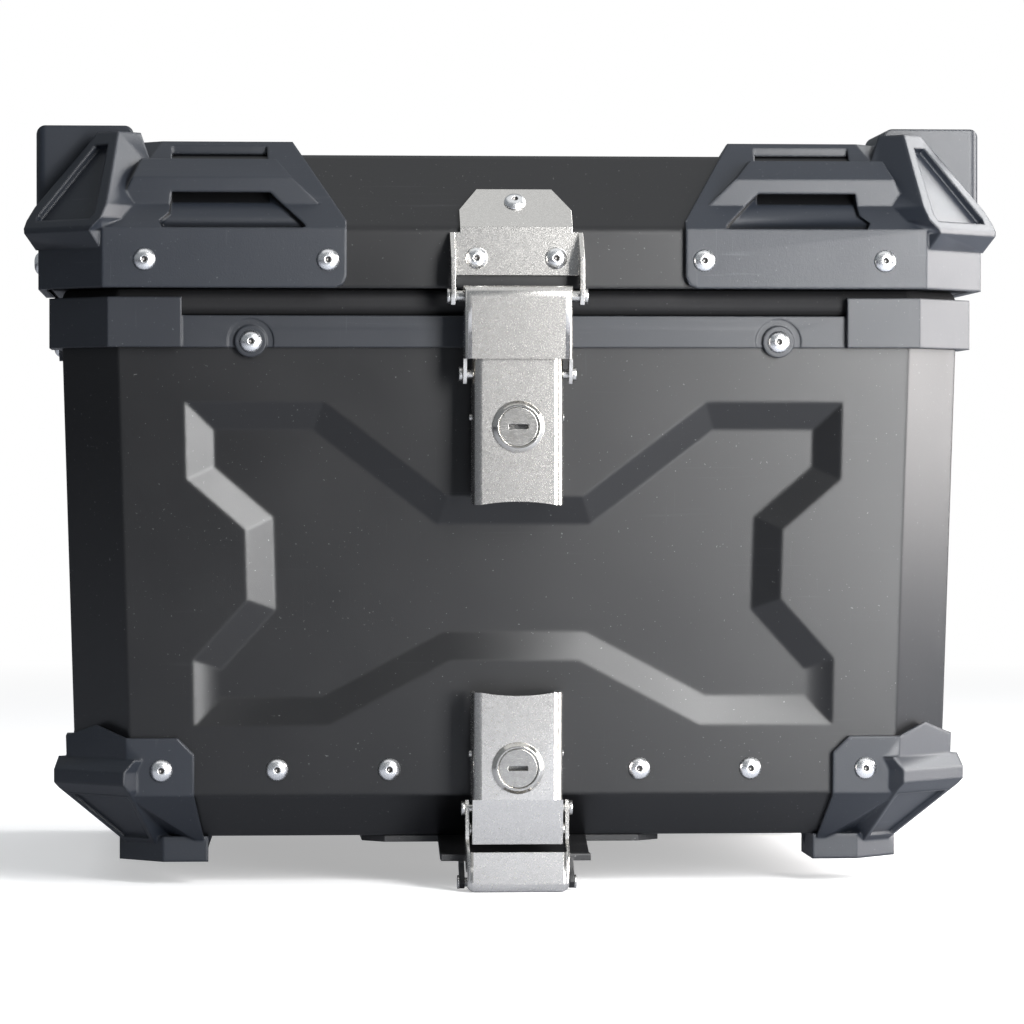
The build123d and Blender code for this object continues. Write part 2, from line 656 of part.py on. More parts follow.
def low_latch_base():
    z0, z1 = 22.0, 60.0
    wall = wall_half(z0, MOUTH_Y) + 0.03, wall_half(z1, MOUTH_Y) + 0.03
    profile = [(-wall[0], z0), (-wall[1], z1), (-wall[1] - 6, z1), (-180.5, 52), (-180.5, 22),
               (-182.4, 16), (-183.6, 12), (-188.0, 11.4), (-189.7, 9.2), (-189.6, 6.4),
               (-187.6, 4.3), (-184.4, 4.2), (-181.5, 6), (-174.5, 15)]
    base = latch_base(profile, z0, z1, LOW_PIVOT, LOW_BASE_RIVETS)
    strike = block((-20, 20), (-178.6, -174.6), (LOW_LOCK_Z - 10.4, LOW_LOCK_Z + 4.5))
    return base - strike


def low_lever():
    lever = channel(LEVER_HALF, LOW_FACE, -177, 2.0, LOW_END_Z)
    lever -= scoop(LOW_END_Z, 1) & block((-15.5, 15.5), (-220, -150), (60, 70))
    lever -= along_x([(-200, 1), (-200, 21), (LOW_FACE, 21), (-190.9, 1)], -40, 40)
    nose = along_x([
        (LOW_FACE, 21), (LOW_FACE + LATCH_SHEET, 21), (-190.9 + LATCH_SHEET, 3.5), (-188.5, 3.5),
        (-188.5, 2.0), (-190.8, 2.0),
    ], -LEVER_HALF, LEVER_HALF)
    lever += nose
    lever -= along_x([(-181.7, 0), (-181.7, 17), (-176, 24), (-170, 24), (-170, 0)], -40, 40)
    lever -= rod_y(LOCK_BODY_R + 0.05, (0, LOW_LOCK_Z), -210, -182)
    lever -= rod_x(PIN_R, LOW_PIVOT, -40, 40)
    lever -= rod_x(PIN_R, LOW_BAIL_PIN, -40, 40)
    lever -= rod_x(1.5, LOW_STUD, -40, 40)
    return lever


def low_bail():
    t = LATCH_SHEET
    face = LOW_FACE - 3.5
    bottom = LOW_HOOK_PIN[1] - PIN_R - 0.3 - t
    bend = 4.0
    sheet = make_face([
        Line((face, -1.0), (face, bottom + bend)),
        ThreePointArc((face, bottom + bend), (face + bend * 0.293, bottom + bend * 0.293),
                      (face + bend, bottom)),
        Line((face + bend, bottom), (-182.9, bottom)),
        Line((-182.9, bottom), (-182.9, bottom + t)),
        Line((-182.9, bottom + t), (face + bend, bottom + t)),
        ThreePointArc((face + bend, bottom + t),
                      (face + t + (bend - t) * 0.293, bottom + t + (bend - t) * 0.293),
                      (face + t, bottom + bend)),
        Line((face + t, bottom + bend), (face + t, -1.0)),
        Line((face + t, -1.0), (face, -1.0)),
    ])
    plate = extrude(Plane.YZ.offset(-BAIL_HALF) * sheet, 2 * BAIL_HALF)
    arm = [(face, -1.0), (face, -9.5), (-189.8, -9.5), (-182.5, -1.0), (-181.9, 17), (-183.7, 20.6),
           (-187.1, 20.6), (-188.9, 17), (-188.9, 4)]
    flanges = [along_x(arm, *sorted((side * BAIL_HALF, side * (BAIL_HALF - t)))) for side in (LEFT, RIGHT)]
    mask = block((-BAIL_HALF, BAIL_HALF), (face, -180), (bottom, 25))
    front = mask.edges().filter_by(Axis.Z).group_by(Axis.Y)[0]
    mask = fillet(front, 3.0)
    low = mask.edges().filter_by(Axis.Y).group_by(Axis.Z)[0]
    mask = fillet(low, 4.0)
    return ((plate + flanges) & mask) - rod_x(PIN_R, LOW_BAIL_PIN, -40, 40)


def lid_bracket():
    back, front = -LID_Y - GAP, -LID_Y - GAP - 2.0
    plate = block((-BRACKET_HALF, BRACKET_HALF), (front, back), (243.7, 262.0))
    slope = along_x([
        (back, 261), (back, LID_BEND), (back + 16.4, LID_BEND + 16.4), (back + 15.0, LID_BEND + 17.8),
        (front, LID_BEND + 0.8), (front, 261),
    ], -24.0, 24.0)
    tab = along_y([(-24, 260), (24, 260), (24, 272.0), (13, 285), (-13, 285), (-24, 272.0)], -ALL, 0)
    ear = [(back, 243.7), (back, 262), (front, 262), (-194.5, 251), (-195.2, 236), (-193, 230.8),
           (-187.4, 230.8), (-185.4, 234), (-184.6, 243.7)]
    ears = [along_x(ear, *sorted((side * BRACKET_HALF, side * (BRACKET_HALF - 2)))) for side in (LEFT, RIGHT)]
    bracket = plate + (slope & tab) + ears
    bracket -= rod_x(2.4, TOP_HOOK_PIN, -40, 40)
    return drilled(bracket, BRACKET_RIVETS)


def lock_body(face, z):
    """The lock's housing: a turned bezel in front and a threaded barrel behind."""
    bezel = rod_y(LOCK_BEZEL_R, (0, z), face - 2.4, face)
    bezel = chamfer(bezel.edges().group_by(Axis.Y)[0], 1.6)
    barrel = rod_y(LOCK_BODY_R, (0, z), face, face + 13.0)
    bore = rod_y(LOCK_PLUG_R, (0, z), face - 5, face + 20)
    return bezel + barrel - bore


def lock_plug(face, z):
    """The plug that the key turns, with its key slot and the tail for the cam."""
    plug = rod_y(LOCK_PLUG_R - 0.05, (0, z), face - 2.0, face + 12.9)
    plug = chamfer(plug.edges().group_by(Axis.Y)[0], 0.4)
    tail = block((-2.5, 2.5), (face + 12.9, face + 17.4), (z - 2.5, z + 2.5))
    slot = block((-4.2, 4.2), (face - 5, face + 8), (z - 1.0, z + 1.0))
    return plug + tail - slot


def lock_cam(face, z):
    """The cam that swings into the base's strike windows."""
    arm = block((-4.0, 4.0), (face + 15.2, face + 17.2), (z - 16.2, z + 4.0))
    arm = fillet(arm.edges().filter_by(Axis.Y), 2.0)
    return arm - block((-2.55, 2.55), (face + 10, face + 20), (z - 2.55, z + 2.55))


def lock_nut(face, z):
    nut = extrude(Plane.XZ * RegularPolygon(12.2, 6), 3.0)
    nut = Pos(0, face + LATCH_SHEET + 3.05, z) * nut
    return nut - rod_y(LOCK_BODY_R + 0.02, (0, z), face - 5, face + 20)


# ---- lid hinge -------------------------------------------------------------
KNUCKLES = 9


def knuckle_spans(first):
    """Every other stretch of the hinge, starting with the first or the second."""
    length = 2 * HINGE_HALF / KNUCKLES
    for i in range(first, KNUCKLES, 2):
        low = -HINGE_HALF + i * length
        yield low + 0.25, low + length - 0.25


def hinge_leaf(plate, web, first, rivets):
    leaf = along_x(plate, -HINGE_HALF, HINGE_HALF)
    for low, high in knuckle_spans(first):
        leaf += along_x(web, low, high)
        leaf += rod_x(KNUCKLE_R, HINGE_AXIS, low, high)
    leaf -= rod_x(HINGE_PIN_R + 0.05, HINGE_AXIS, -ALL, ALL)
    return drilled(leaf, rivets)


def hinge_body_leaf():
    y = MOUTH_Y + RING_BAND + GAP
    plate = [(y, 213.5), (y + 1.8, 213.5), (y + 1.8, 227.5), (y, 227.5)]
    web = [(y, 226), (y + 1.8, 225.5), (188.0, 231.2), (186.5, 233.6)]
    return hinge_leaf(plate, web, 0, HINGE_BODY_RIVETS)


def hinge_lid_leaf():
    y = LID_Y + GAP
    plate = [(y, 241.0), (y + 1.8, 241.0), (y + 1.8, 259.0), (y, 259.0)]
    web = [(y, 242.5), (y, 240.2), (186.0, 236.0), (188.6, 237.2), (y + 1.8, 243.0)]
    return hinge_leaf(plate, web, 1, HINGE_LID_RIVETS)


def hinge_pin():
    return rod_x(HINGE_PIN_R, HINGE_AXIS, -HINGE_HALF - 0.5, HINGE_HALF + 0.5)


# ---- rack plate ------------------------------------------------------------
TONGUE_EDGE = 104.0              # the plate's edge that the tongues reach under


def rack_plate():
    outline = [
        (-95, 112), (-95, -80), (-80, -95), (-64.5, -95), (-64.5, -140), (-55, -149), (55, -149),
        (64.5, -140), (64.5, -95), (80, -95), (95, -80), (95, 112), (83, 124), (-83, 124),
    ]
    plate = along_z([(x, y) for x, y in reversed(outline)], 0, PLATE)
    nose = along_x([
        (-145, PLATE), (-152, PLATE), (-170, -3.0), (-181.5, -3.0), (-181.5, -5.8), (-171, -5.8), (-153, 0),
        (-145, 0),
    ], -32, 32)
    ear = [(-174.5, -3.0), (-180, -3.0), (-188.3, -10.6), (-189.3, -14.4), (-186.9, -17.0), (-183.7, -17.0),
           (-174.5, -8.5)]
    ears = [along_x(ear, *sorted((side * 22.35, side * 24.35))) for side in (LEFT, RIGHT)]
    plate = plate + nose + ears
    slots = []
    for x in (-PLATE_SLOT_X / 2, PLATE_SLOT_X / 2):
        for y in (-PLATE_SLOT_Y / 2, PLATE_SLOT_Y / 2):
            slots.append(Pos(x, y, PLATE / 2) * extrude(SlotOverall(24, 6.6), 6, both=True))
    for side in (LEFT, RIGHT):
        low, high = sorted((side * (TONGUE_X - 13), side * (TONGUE_X + 13)))
        slots.append(block((low, high), (46, TONGUE_EDGE), (-5, 8)))
        slots.append(block((low - 2, high + 2), (44, 130), (-5, 0.3)))
    plate -= slots
    plate -= rod_x(PIN_R, LOW_HOOK_PIN, -40, 40)
    return plate - Cylinder(26, 20)


def plate_tongues():
    """The two hooks under the floor that reach under the rack plate."""
    hooks = []
    for side in (LEFT, RIGHT):
        low, high = sorted((side * (TONGUE_X - 11), side * (TONGUE_X + 11)))
        profile = [(70, BODY_BOTTOM - GAP), (70, -3.2), (116, -3.2), (118, -2.2), (118, -0.2), (94, -0.2),
                   (94, BODY_BOTTOM - GAP)]
        hooks.append(drilled(along_x(profile, low, high), TONGUE_RIVETS))
    return hooks


# ---- write every node ------------------------------------------------------
def main():
    os.makedirs("parts", exist_ok=True)
    nodes = {
        "body_shell": body_shell(),
        "floor_pan": floor_pan(),
        "floor_mat": floor_mat(),
        "mouth_ring": mouth_ring(),
        "mouth_seal": mouth_seal(),
        "lid_shell": lid_shell(),
        "lid_rim": lid_rim(),
        "lid_pad": lid_pad(),
        "lid_bracket": lid_bracket(),
        "lid_hook_pin": pin(TOP_HOOK_PIN, 2.38, BRACKET_HALF + GAP, 3.4, 1.5),
        "hinge_body_leaf": hinge_body_leaf(),
        "hinge_lid_leaf": hinge_lid_leaf(),
        "hinge_pin": hinge_pin(),
        "top_latch_base": top_latch_base(),
        "top_pivot_pin": pin(TOP_PIVOT, PIN_R - GAP, LEVER_HALF + 0.1, 2.9, 0.9),
        "top_lever": top_lever(),
        "top_link": top_link(),
        "top_link_pin": pin(TOP_LINK_PIN, PIN_R - GAP, LINK_HALF + 0.1, 3.1, 1.6),
        "top_lock_body": lock_body(TOP_FACE, TOP_LOCK_Z),
        "top_lock_plug": lock_plug(TOP_FACE, TOP_LOCK_Z),
        "top_lock_cam": lock_cam(TOP_FACE, TOP_LOCK_Z),
        "top_lock_nut": lock_nut(TOP_FACE, TOP_LOCK_Z),
        "low_latch_base": low_latch_base(),
        "low_pivot_pin": pin(LOW_PIVOT, PIN_R - GAP, LEVER_HALF + 0.1, 2.9, 0.9),
        "low_lever": low_lever(),
        "low_bail": low_bail(),
        "low_bail_pin": pin(LOW_BAIL_PIN, PIN_R - GAP, BAIL_HALF + 0.1, 3.1, 1.6),
        "low_lock_body": lock_body(LOW_FACE, LOW_LOCK_Z),
        "low_lock_plug": lock_plug(LOW_FACE, LOW_LOCK_Z),
        "low_lock_cam": lock_cam(LOW_FACE, LOW_LOCK_Z),
        "low_lock_nut": lock_nut(LOW_FACE, LOW_LOCK_Z),
        "rack_plate": rack_plate(),
        "plate_hook_pin": pin(LOW_HOOK_PIN, PIN_R - GAP, 24.4, 2.9, 1.0),
    }
    groups = {
        "lid_guard_rivets": [rivet(*place) for place in LID_RIVETS],
        "mouth_ring_rivets": [rivet(*place) for place in RING_RIVETS],
        "cap_rivets": [rivet(*place) for place in CAP_RIVETS],
        "wall_rivets": [rivet(*place) for place in WALL_RIVETS],
        "bracket_rivets": [rivet(*place) for place in BRACKET_RIVETS],
        "hinge_lid_rivets": [rivet(*place) for place in HINGE_LID_RIVETS],
        "hinge_body_rivets": [rivet(*place) for place in HINGE_BODY_RIVETS],
        "top_base_rivets": [rivet(*place, 5.0) for place in TOP_BASE_RIVETS],
        "low_base_rivets": [rivet(*place, 5.0) for place in LOW_BASE_RIVETS],
        "tongue_rivets": [rivet(*place, 9.0) for place in TONGUE_RIVETS],
        "top_lever_studs": studs(TOP_STUD),
        "low_lever_studs": studs(LOW_STUD),
        "plate_tongues": plate_tongues(),
    }
    for corner, guard in four_corners(lid_guard()).items():
        nodes[f"lid_guard_{corner}"] = guard
    for corner, cap in four_corners(lower_cap()).items():
        nodes[f"lower_cap_{corner}"] = cap
    for name, solids in groups.items():
        nodes[name] = Compound([solid for shape in solids for solid in shape.solids()])
    for name, shape in nodes.items():
        export(shape, name)


main()
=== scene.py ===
import json
import math

import bmesh
import bpy
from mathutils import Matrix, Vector


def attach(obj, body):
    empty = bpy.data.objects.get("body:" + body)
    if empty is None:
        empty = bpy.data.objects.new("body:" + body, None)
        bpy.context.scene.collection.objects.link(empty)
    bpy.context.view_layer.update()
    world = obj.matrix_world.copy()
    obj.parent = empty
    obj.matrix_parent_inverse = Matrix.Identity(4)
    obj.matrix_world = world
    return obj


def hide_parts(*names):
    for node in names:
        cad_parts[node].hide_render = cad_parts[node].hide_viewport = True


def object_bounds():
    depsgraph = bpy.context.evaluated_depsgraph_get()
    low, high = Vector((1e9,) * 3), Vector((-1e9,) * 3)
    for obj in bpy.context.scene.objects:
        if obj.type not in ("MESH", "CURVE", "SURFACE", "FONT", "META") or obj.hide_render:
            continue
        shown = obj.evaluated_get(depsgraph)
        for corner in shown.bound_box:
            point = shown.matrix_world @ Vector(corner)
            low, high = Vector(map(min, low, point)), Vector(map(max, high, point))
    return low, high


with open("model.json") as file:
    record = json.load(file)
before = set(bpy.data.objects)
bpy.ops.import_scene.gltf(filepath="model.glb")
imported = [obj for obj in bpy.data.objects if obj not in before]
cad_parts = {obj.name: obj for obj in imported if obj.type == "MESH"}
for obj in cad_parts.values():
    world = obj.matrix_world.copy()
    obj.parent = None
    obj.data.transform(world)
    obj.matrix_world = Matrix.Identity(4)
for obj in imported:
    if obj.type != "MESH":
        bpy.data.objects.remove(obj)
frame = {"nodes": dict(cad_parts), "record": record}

# Motorcycle top case, in metres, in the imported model's frame.
# -Y is the latch side, +X the right seen from the latches, +Z up.

cad_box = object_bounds()
MM = 0.001
TOUCHING = 0.5e-6              # points closer than this are one point
RIVET_HEAD_RADIUS = 4.75 * MM
BODY_OF = {
    node: body
    for body, nodes in frame["record"]["behaviour"]["bodies"].items()
    for node in nodes
}


# ---- shader groups ---------------------------------------------------------
def shader_group(name, inputs, outputs):
    """An empty shader group with named inputs {name: default} and outputs {name: kind}."""
    group = bpy.data.node_groups.new(name, "ShaderNodeTree")
    for label, value in inputs.items():
        kind = "NodeSocketColor" if isinstance(value, tuple) else "NodeSocketFloat"
        socket = group.interface.new_socket(label, in_out="INPUT", socket_type=kind)
        socket.default_value = value
    for label, kind in outputs.items():
        group.interface.new_socket(label, in_out="OUTPUT", socket_type=kind)
    return group, group.nodes.new("NodeGroupInput"), group.nodes.new("NodeGroupOutput")


def math_node(tree, operation, a, b=None):
    """A math node; a and b are sockets or numbers."""
    node = tree.nodes.new("ShaderNodeMath")
    node.operation = operation
    for socket, value in zip(node.inputs, (a, b)):
        if value is None:
            continue
        if isinstance(value, (int, float)):
            socket.default_value = value
        else:
            tree.links.new(value, socket)
    return node.outputs[0]


def noise_node(tree, vector, scale, detail=2.0, roughness=0.5):
    """Noise over the given coordinates; scale is a socket or a number."""
    node = tree.nodes.new("ShaderNodeTexNoise")
    node.inputs["Detail"].default_value = detail
    node.inputs["Roughness"].default_value = roughness
    tree.links.new(vector, node.inputs["Vector"])
    if isinstance(scale, (int, float)):
        node.inputs["Scale"].default_value = scale
    else:
        tree.links.new(scale, node.inputs["Scale"])
    return node.outputs["Fac"]


def range_node(tree, value, low, high, to_low=0.0, to_high=1.0):
    """The value stretched from one range to another, clamped; ends are sockets or numbers."""
    node = tree.nodes.new("ShaderNodeMapRange")
    tree.links.new(value, node.inputs["Value"])
    ends = zip(("From Min", "From Max", "To Min", "To Max"), (low, high, to_low, to_high))
    for label, end in ends:
        if isinstance(end, (int, float)):
            node.inputs[label].default_value = end
        else:
            tree.links.new(end, node.inputs[label])
    return node.outputs["Result"]


def mix_colour(tree, factor, a, b):
    """Colour a where factor is 0 and b where it is 1."""
    node = tree.nodes.new("ShaderNodeMix")
    node.data_type = "RGBA"
    tree.links.new(factor, node.inputs["Factor"])
    for label, value in (("A", a), ("B", b)):
        socket = next(s for s in node.inputs if s.name == label and s.type == "RGBA")
        if isinstance(value, tuple):
            socket.default_value = value
        else:
            tree.links.new(value, socket)
    return next(s for s in node.outputs if s.type == "RGBA")


def stretched(tree, vector, scale):
    """Coordinates scaled apart on each axis."""
    node = tree.nodes.new("ShaderNodeMapping")
    node.inputs["Scale"].default_value = scale
    tree.links.new(vector, node.inputs["Vector"])
    return node.outputs["Vector"]


def grain_group():
    """The pebbled skin of powder coat and moulded plastic, with a slow drift in its gloss."""
    group, into, out = shader_group(
        "coat_grain",
        {"Grain per metre": 2500.0, "Base roughness": 0.4, "Roughness spread": 0.08, "Cloud per metre": 14.0},
        {"Height": "NodeSocketFloat", "Roughness": "NodeSocketFloat"},
    )
    place = group.nodes.new("ShaderNodeTexCoord").outputs["Object"]
    fine = noise_node(group, place, into.outputs["Grain per metre"], 3.0, 0.6)
    cloud = noise_node(group, place, into.outputs["Cloud per metre"], 3.0, 0.55)
    half_fine, half_cloud = (math_node(group, "MULTIPLY", noise, 0.5) for noise in (fine, cloud))
    both = math_node(group, "ADD", half_fine, half_cloud)
    centred = math_node(group, "SUBTRACT", both, 0.5)
    spread = math_node(group, "MULTIPLY", centred, into.outputs["Roughness spread"])
    widened = math_node(group, "MULTIPLY", spread, 4.0)
    rough = math_node(group, "ADD", widened, into.outputs["Base roughness"])
    group.links.new(fine, out.inputs["Height"])
    group.links.new(rough, out.inputs["Roughness"])
    return group


def wear_group():
    """Rubbed streaks and settled dust specks over a colour."""
    group, into, out = shader_group(
        "rub_and_dust",
        {"Colour": (0.02, 0.02, 0.02, 1.0), "Rubbed colour": (0.1, 0.1, 0.1, 1.0),
         "Dust colour": (0.5, 0.5, 0.5, 1.0), "Rub amount": 0.3, "Dust amount": 0.3},
        {"Colour": "NodeSocketColor"},
    )
    place = group.nodes.new("ShaderNodeTexCoord").outputs["Object"]
    along = stretched(group, place, (26.0, 26.0, 900.0))
    across = stretched(group, place, (900.0, 900.0, 30.0))
    streak_a = range_node(group, noise_node(group, along, 1.0, 2.0), 0.66, 0.74)
    streak_b = range_node(group, noise_node(group, across, 1.0, 2.0), 0.68, 0.75)
    patches = range_node(group, noise_node(group, place, 23.0, 3.0), 0.45, 0.7)
    streaks = math_node(group, "MAXIMUM", streak_a, streak_b)
    worn = math_node(group, "MULTIPLY", streaks, patches)
    rub = math_node(group, "MULTIPLY", worn, into.outputs["Rub amount"])
    specks = range_node(group, noise_node(group, place, 1050.0, 1.0, 0.4), 0.765, 0.79)
    dust = math_node(group, "MULTIPLY", specks, into.outputs["Dust amount"])
    rubbed = mix_colour(group, rub, into.outputs["Colour"], into.outputs["Rubbed colour"])
    dusted = mix_colour(group, dust, rubbed, into.outputs["Dust colour"])
    group.links.new(dusted, out.inputs["Colour"])
    return group


def sparkle_group():
    """The crystal grain of blasted steel: flat grains that each catch the light their own way."""
    group, into, out = shader_group(
        "blasted_sparkle",
        {"Grain per metre": 1900.0, "Base roughness": 0.32, "Roughness spread": 0.14,
         "Light colour": (0.8, 0.76, 0.7, 1.0), "Dark colour": (0.55, 0.51, 0.46, 1.0)},
        {"Colour": "NodeSocketColor", "Height": "NodeSocketFloat", "Roughness": "NodeSocketFloat"},
    )
    place = group.nodes.new("ShaderNodeTexCoord").outputs["Object"]
    grains = group.nodes.new("ShaderNodeTexVoronoi")
    group.links.new(place, grains.inputs["Vector"])
    group.links.new(into.outputs["Grain per metre"], grains.inputs["Scale"])
    cloud = noise_node(group, place, 900.0, 3.0)
    lot = math_node(group, "MULTIPLY", grains.outputs["Color"], 0.8)
    blend = math_node(group, "ADD", lot, math_node(group, "MULTIPLY", cloud, 0.2))
    colour = mix_colour(group, blend, into.outputs["Dark colour"], into.outputs["Light colour"])
    centred = math_node(group, "SUBTRACT", blend, 0.5)
    spread = math_node(group, "MULTIPLY", centred, into.outputs["Roughness spread"])
    rough = math_node(group, "ADD", spread, into.outputs["Base roughness"])
    height = noise_node(group, place, into.outputs["Grain per metre"], 2.0, 0.6)
    group.links.new(colour, out.inputs["Colour"])
    group.links.new(height, out.inputs["Height"])
    group.links.new(rough, out.inputs["Roughness"])
    return group


GRAIN = grain_group()
WEAR = wear_group()
SPARKLE = sparkle_group()


# ---- materials -------------------------------------------------------------
def new_material(name):
    """A material with one Principled shader; gives back the material, its tree and the shader."""
    material = bpy.data.materials.new(name)
    material.use_nodes = True
    tree = material.node_tree
    return material, tree, tree.nodes["Principled BSDF"]


def placed(tree, group, **values):
    """A group node with its values set; words in the keys are joined by underscores."""
    node = tree.nodes.new("ShaderNodeGroup")
    node.node_tree = group
    for key, value in values.items():
        node.inputs[key.replace("_", " ")].default_value = value
    return node


def bumped(tree, shader, height, distance, strength, soft_edge=0.0):
    """Feeds a height through a Bump node to the shader's normal, over edges softened to a radius."""
    bump = tree.nodes.new("ShaderNodeBump")
    if soft_edge:
        edge = tree.nodes.new("ShaderNodeBevel")
        edge.samples = 6
        edge.inputs["Radius"].default_value = soft_edge
        tree.links.new(edge.outputs["Normal"], bump.inputs["Normal"])
    bump.inputs["Distance"].default_value = distance
    bump.inputs["Strength"].default_value = strength
    tree.links.new(height, bump.inputs["Height"])
    tree.links.new(bump.outputs["Normal"], shader.inputs["Normal"])


def coated(name, colour, rubbed, *, grain, roughness, spread, bump, rub, dust, soft_edge, gloss=0.5):
    """Powder coat, moulded plastic or rubber: pebbled skin, rubbed streaks and dust."""
    material, tree, shader = new_material(name)
    skin = placed(tree, GRAIN, Grain_per_metre=grain, Base_roughness=roughness, Roughness_spread=spread)
    worn = placed(tree, WEAR, Colour=(*colour, 1.0), Rubbed_colour=(*rubbed, 1.0),
                  Rub_amount=rub, Dust_amount=dust)
    tree.links.new(worn.outputs["Colour"], shader.inputs["Base Color"])
    tree.links.new(skin.outputs["Roughness"], shader.inputs["Roughness"])
    shader.inputs["Specular IOR Level"].default_value = gloss
    bumped(tree, shader, skin.outputs["Height"], bump, 0.5, soft_edge)
    return material


def blasted(name, light, dark, *, grain, roughness, spread, bump):
    """Blasted or satin-plated metal with a crystal sparkle."""
    material, tree, shader = new_material(name)
    shader.inputs["Metallic"].default_value = 1.0
    skin = placed(tree, SPARKLE, Grain_per_metre=grain, Base_roughness=roughness,
                  Roughness_spread=spread, Light_colour=(*light, 1.0), Dark_colour=(*dark, 1.0))
    tree.links.new(skin.outputs["Colour"], shader.inputs["Base Color"])
    tree.links.new(skin.outputs["Roughness"], shader.inputs["Roughness"])
    bumped(tree, shader, skin.outputs["Height"], bump, 0.6)
    return material


def felt_material():
    """Needled felt: tangled fibres in two directions with a soft sheen."""
    material, tree, shader = new_material("lining_felt")
    place = tree.nodes.new("ShaderNodeTexCoord").outputs["Object"]
    fibres_a = noise_node(tree, stretched(tree, place, (300.0, 2600.0, 900.0)), 1.0, 4.0, 0.7)
    fibres_b = noise_node(tree, stretched(tree, place, (2600.0, 300.0, 900.0)), 1.0, 4.0, 0.7)
    fibres = math_node(tree, "MAXIMUM", fibres_a, fibres_b)
    shade = range_node(tree, fibres, 0.42, 0.75)
    colour = mix_colour(tree, shade, (0.012, 0.012, 0.013, 1.0), (0.055, 0.055, 0.058, 1.0))
    tree.links.new(colour, shader.inputs["Base Color"])
    shader.inputs["Roughness"].default_value = 0.95
    shader.inputs["Sheen Weight"].default_value = 0.25
    bumped(tree, shader, fibres, 0.0006, 0.8)
    return material


def turned_material():
    """The lock's face: fine rings turned round the lock's axis, which runs along Y."""
    material, tree, shader = new_material("lock_face_nickel")
    shader.inputs["Metallic"].default_value = 1.0
    place = tree.nodes.new("ShaderNodeTexCoord").outputs["Object"]
    rings = noise_node(tree, stretched(tree, place, (500.0, 200.0, 4200.0)), 1.0, 2.0)
    rough = range_node(tree, rings, 0.3, 0.7, 0.22, 0.28)
    stain = range_node(tree, noise_node(tree, place, 420.0, 3.0), 0.35, 0.7)
    colour = mix_colour(tree, stain, (0.50, 0.49, 0.47, 1.0), (0.40, 0.39, 0.37, 1.0))
    tree.links.new(colour, shader.inputs["Base Color"])
    tree.links.new(rough, shader.inputs["Roughness"])
    bumped(tree, shader, rings, 0.000008, 0.35)
    return material


POWDER = coated(
    "case_powder_coat", (0.0036, 0.0037, 0.0043), (0.06, 0.06, 0.065),
    grain=2600.0, roughness=0.35, spread=0.07, bump=0.00006, rub=0.12, dust=0.16, soft_edge=2.4 * MM)
GUARD_PLASTIC = coated(
    "guard_moulded_plastic", (0.0102, 0.0130, 0.0188), (0.11, 0.11, 0.12),
    grain=1700.0, roughness=0.42, spread=0.08, bump=0.00009, rub=0.22, dust=0.12, soft_edge=1.7 * MM)
RING_PLASTIC = coated(
    "ring_moulded_plastic", (0.0100, 0.0122, 0.0170), (0.10, 0.10, 0.11),
    grain=2100.0, roughness=0.41, spread=0.08, bump=0.00007, rub=0.2, dust=0.12, soft_edge=1.2 * MM)
SEAL_RUBBER = coated(
    "seal_rubber", (0.0045, 0.0045, 0.0052), (0.02, 0.02, 0.02),
    grain=1400.0, roughness=0.70, spread=0.08, bump=0.00008, rub=0.2, dust=0.1, soft_edge=0.0, gloss=0.3)
HINGE_COAT = coated(
    "hinge_black_coat", (0.014, 0.014, 0.015), (0.25, 0.25, 0.25),
    grain=2300.0, roughness=0.36, spread=0.08, bump=0.00006, rub=0.5, dust=0.3, soft_edge=0.4 * MM)
PLATE_COAT = coated(
    "plate_black_coat", (0.010, 0.010, 0.011), (0.20, 0.20, 0.20),
    grain=1900.0, roughness=0.48, spread=0.10, bump=0.00010, rub=0.6, dust=0.35, soft_edge=0.5 * MM)
LATCH_STEEL = blasted(
    "latch_blasted_steel", (0.72, 0.70, 0.67), (0.54, 0.525, 0.50),
    grain=2600.0, roughness=0.25, spread=0.08, bump=0.000016)
PIN_STEEL = blasted(
    "pin_steel", (0.66, 0.65, 0.63), (0.48, 0.47, 0.45),
    grain=2600.0, roughness=0.26, spread=0.10, bump=0.00004)
LOCK_NICKEL = blasted(
    "lock_nickel", (0.72, 0.70, 0.66), (0.58, 0.56, 0.52),
    grain=3200.0, roughness=0.17, spread=0.08, bump=0.00002)
RIVET_ALUMINIUM = blasted(
    "rivet_aluminium", (0.92, 0.92, 0.92), (0.78, 0.78, 0.78),
    grain=2400.0, roughness=0.27, spread=0.12, bump=0.00006)
MANDREL_STEEL = blasted(
    "mandrel_steel", (0.22, 0.21, 0.20), (0.10, 0.10, 0.10),
    grain=2400.0, roughness=0.40, spread=0.10, bump=0.00006)
PAN_ALUMINIUM = blasted(
    "pan_aluminium", (0.66, 0.66, 0.66), (0.54, 0.54, 0.54),
    grain=900.0, roughness=0.34, spread=0.12, bump=0.00005)
LOCK_FACE = turned_material()
LINING_FELT = felt_material()


# ---- pieces from the frame's nodes -----------------------------------------
def put_on(obj, nodes, material=None):
    """Gives a finished piece its material, if one is given, and its body, and hides the nodes it stands for."""
    if material is not None:
        obj.data.materials.clear()
        obj.data.materials.append(material)
    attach(obj, BODY_OF[nodes[0]])
    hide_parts(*nodes)
    return obj


def new_object(name, data):
    """An object at the origin that holds the given mesh, lamp or camera."""
    obj = bpy.data.objects.new(name, data)
    bpy.context.scene.collection.objects.link(obj)
    return obj


def evaluated_mesh(obj):
    """The object's mesh with its modifiers worked out."""
    graph = bpy.context.evaluated_depsgraph_get()
    return bpy.data.meshes.new_from_object(
        obj.evaluated_get(graph), preserve_all_data_layers=True, depsgraph=graph)


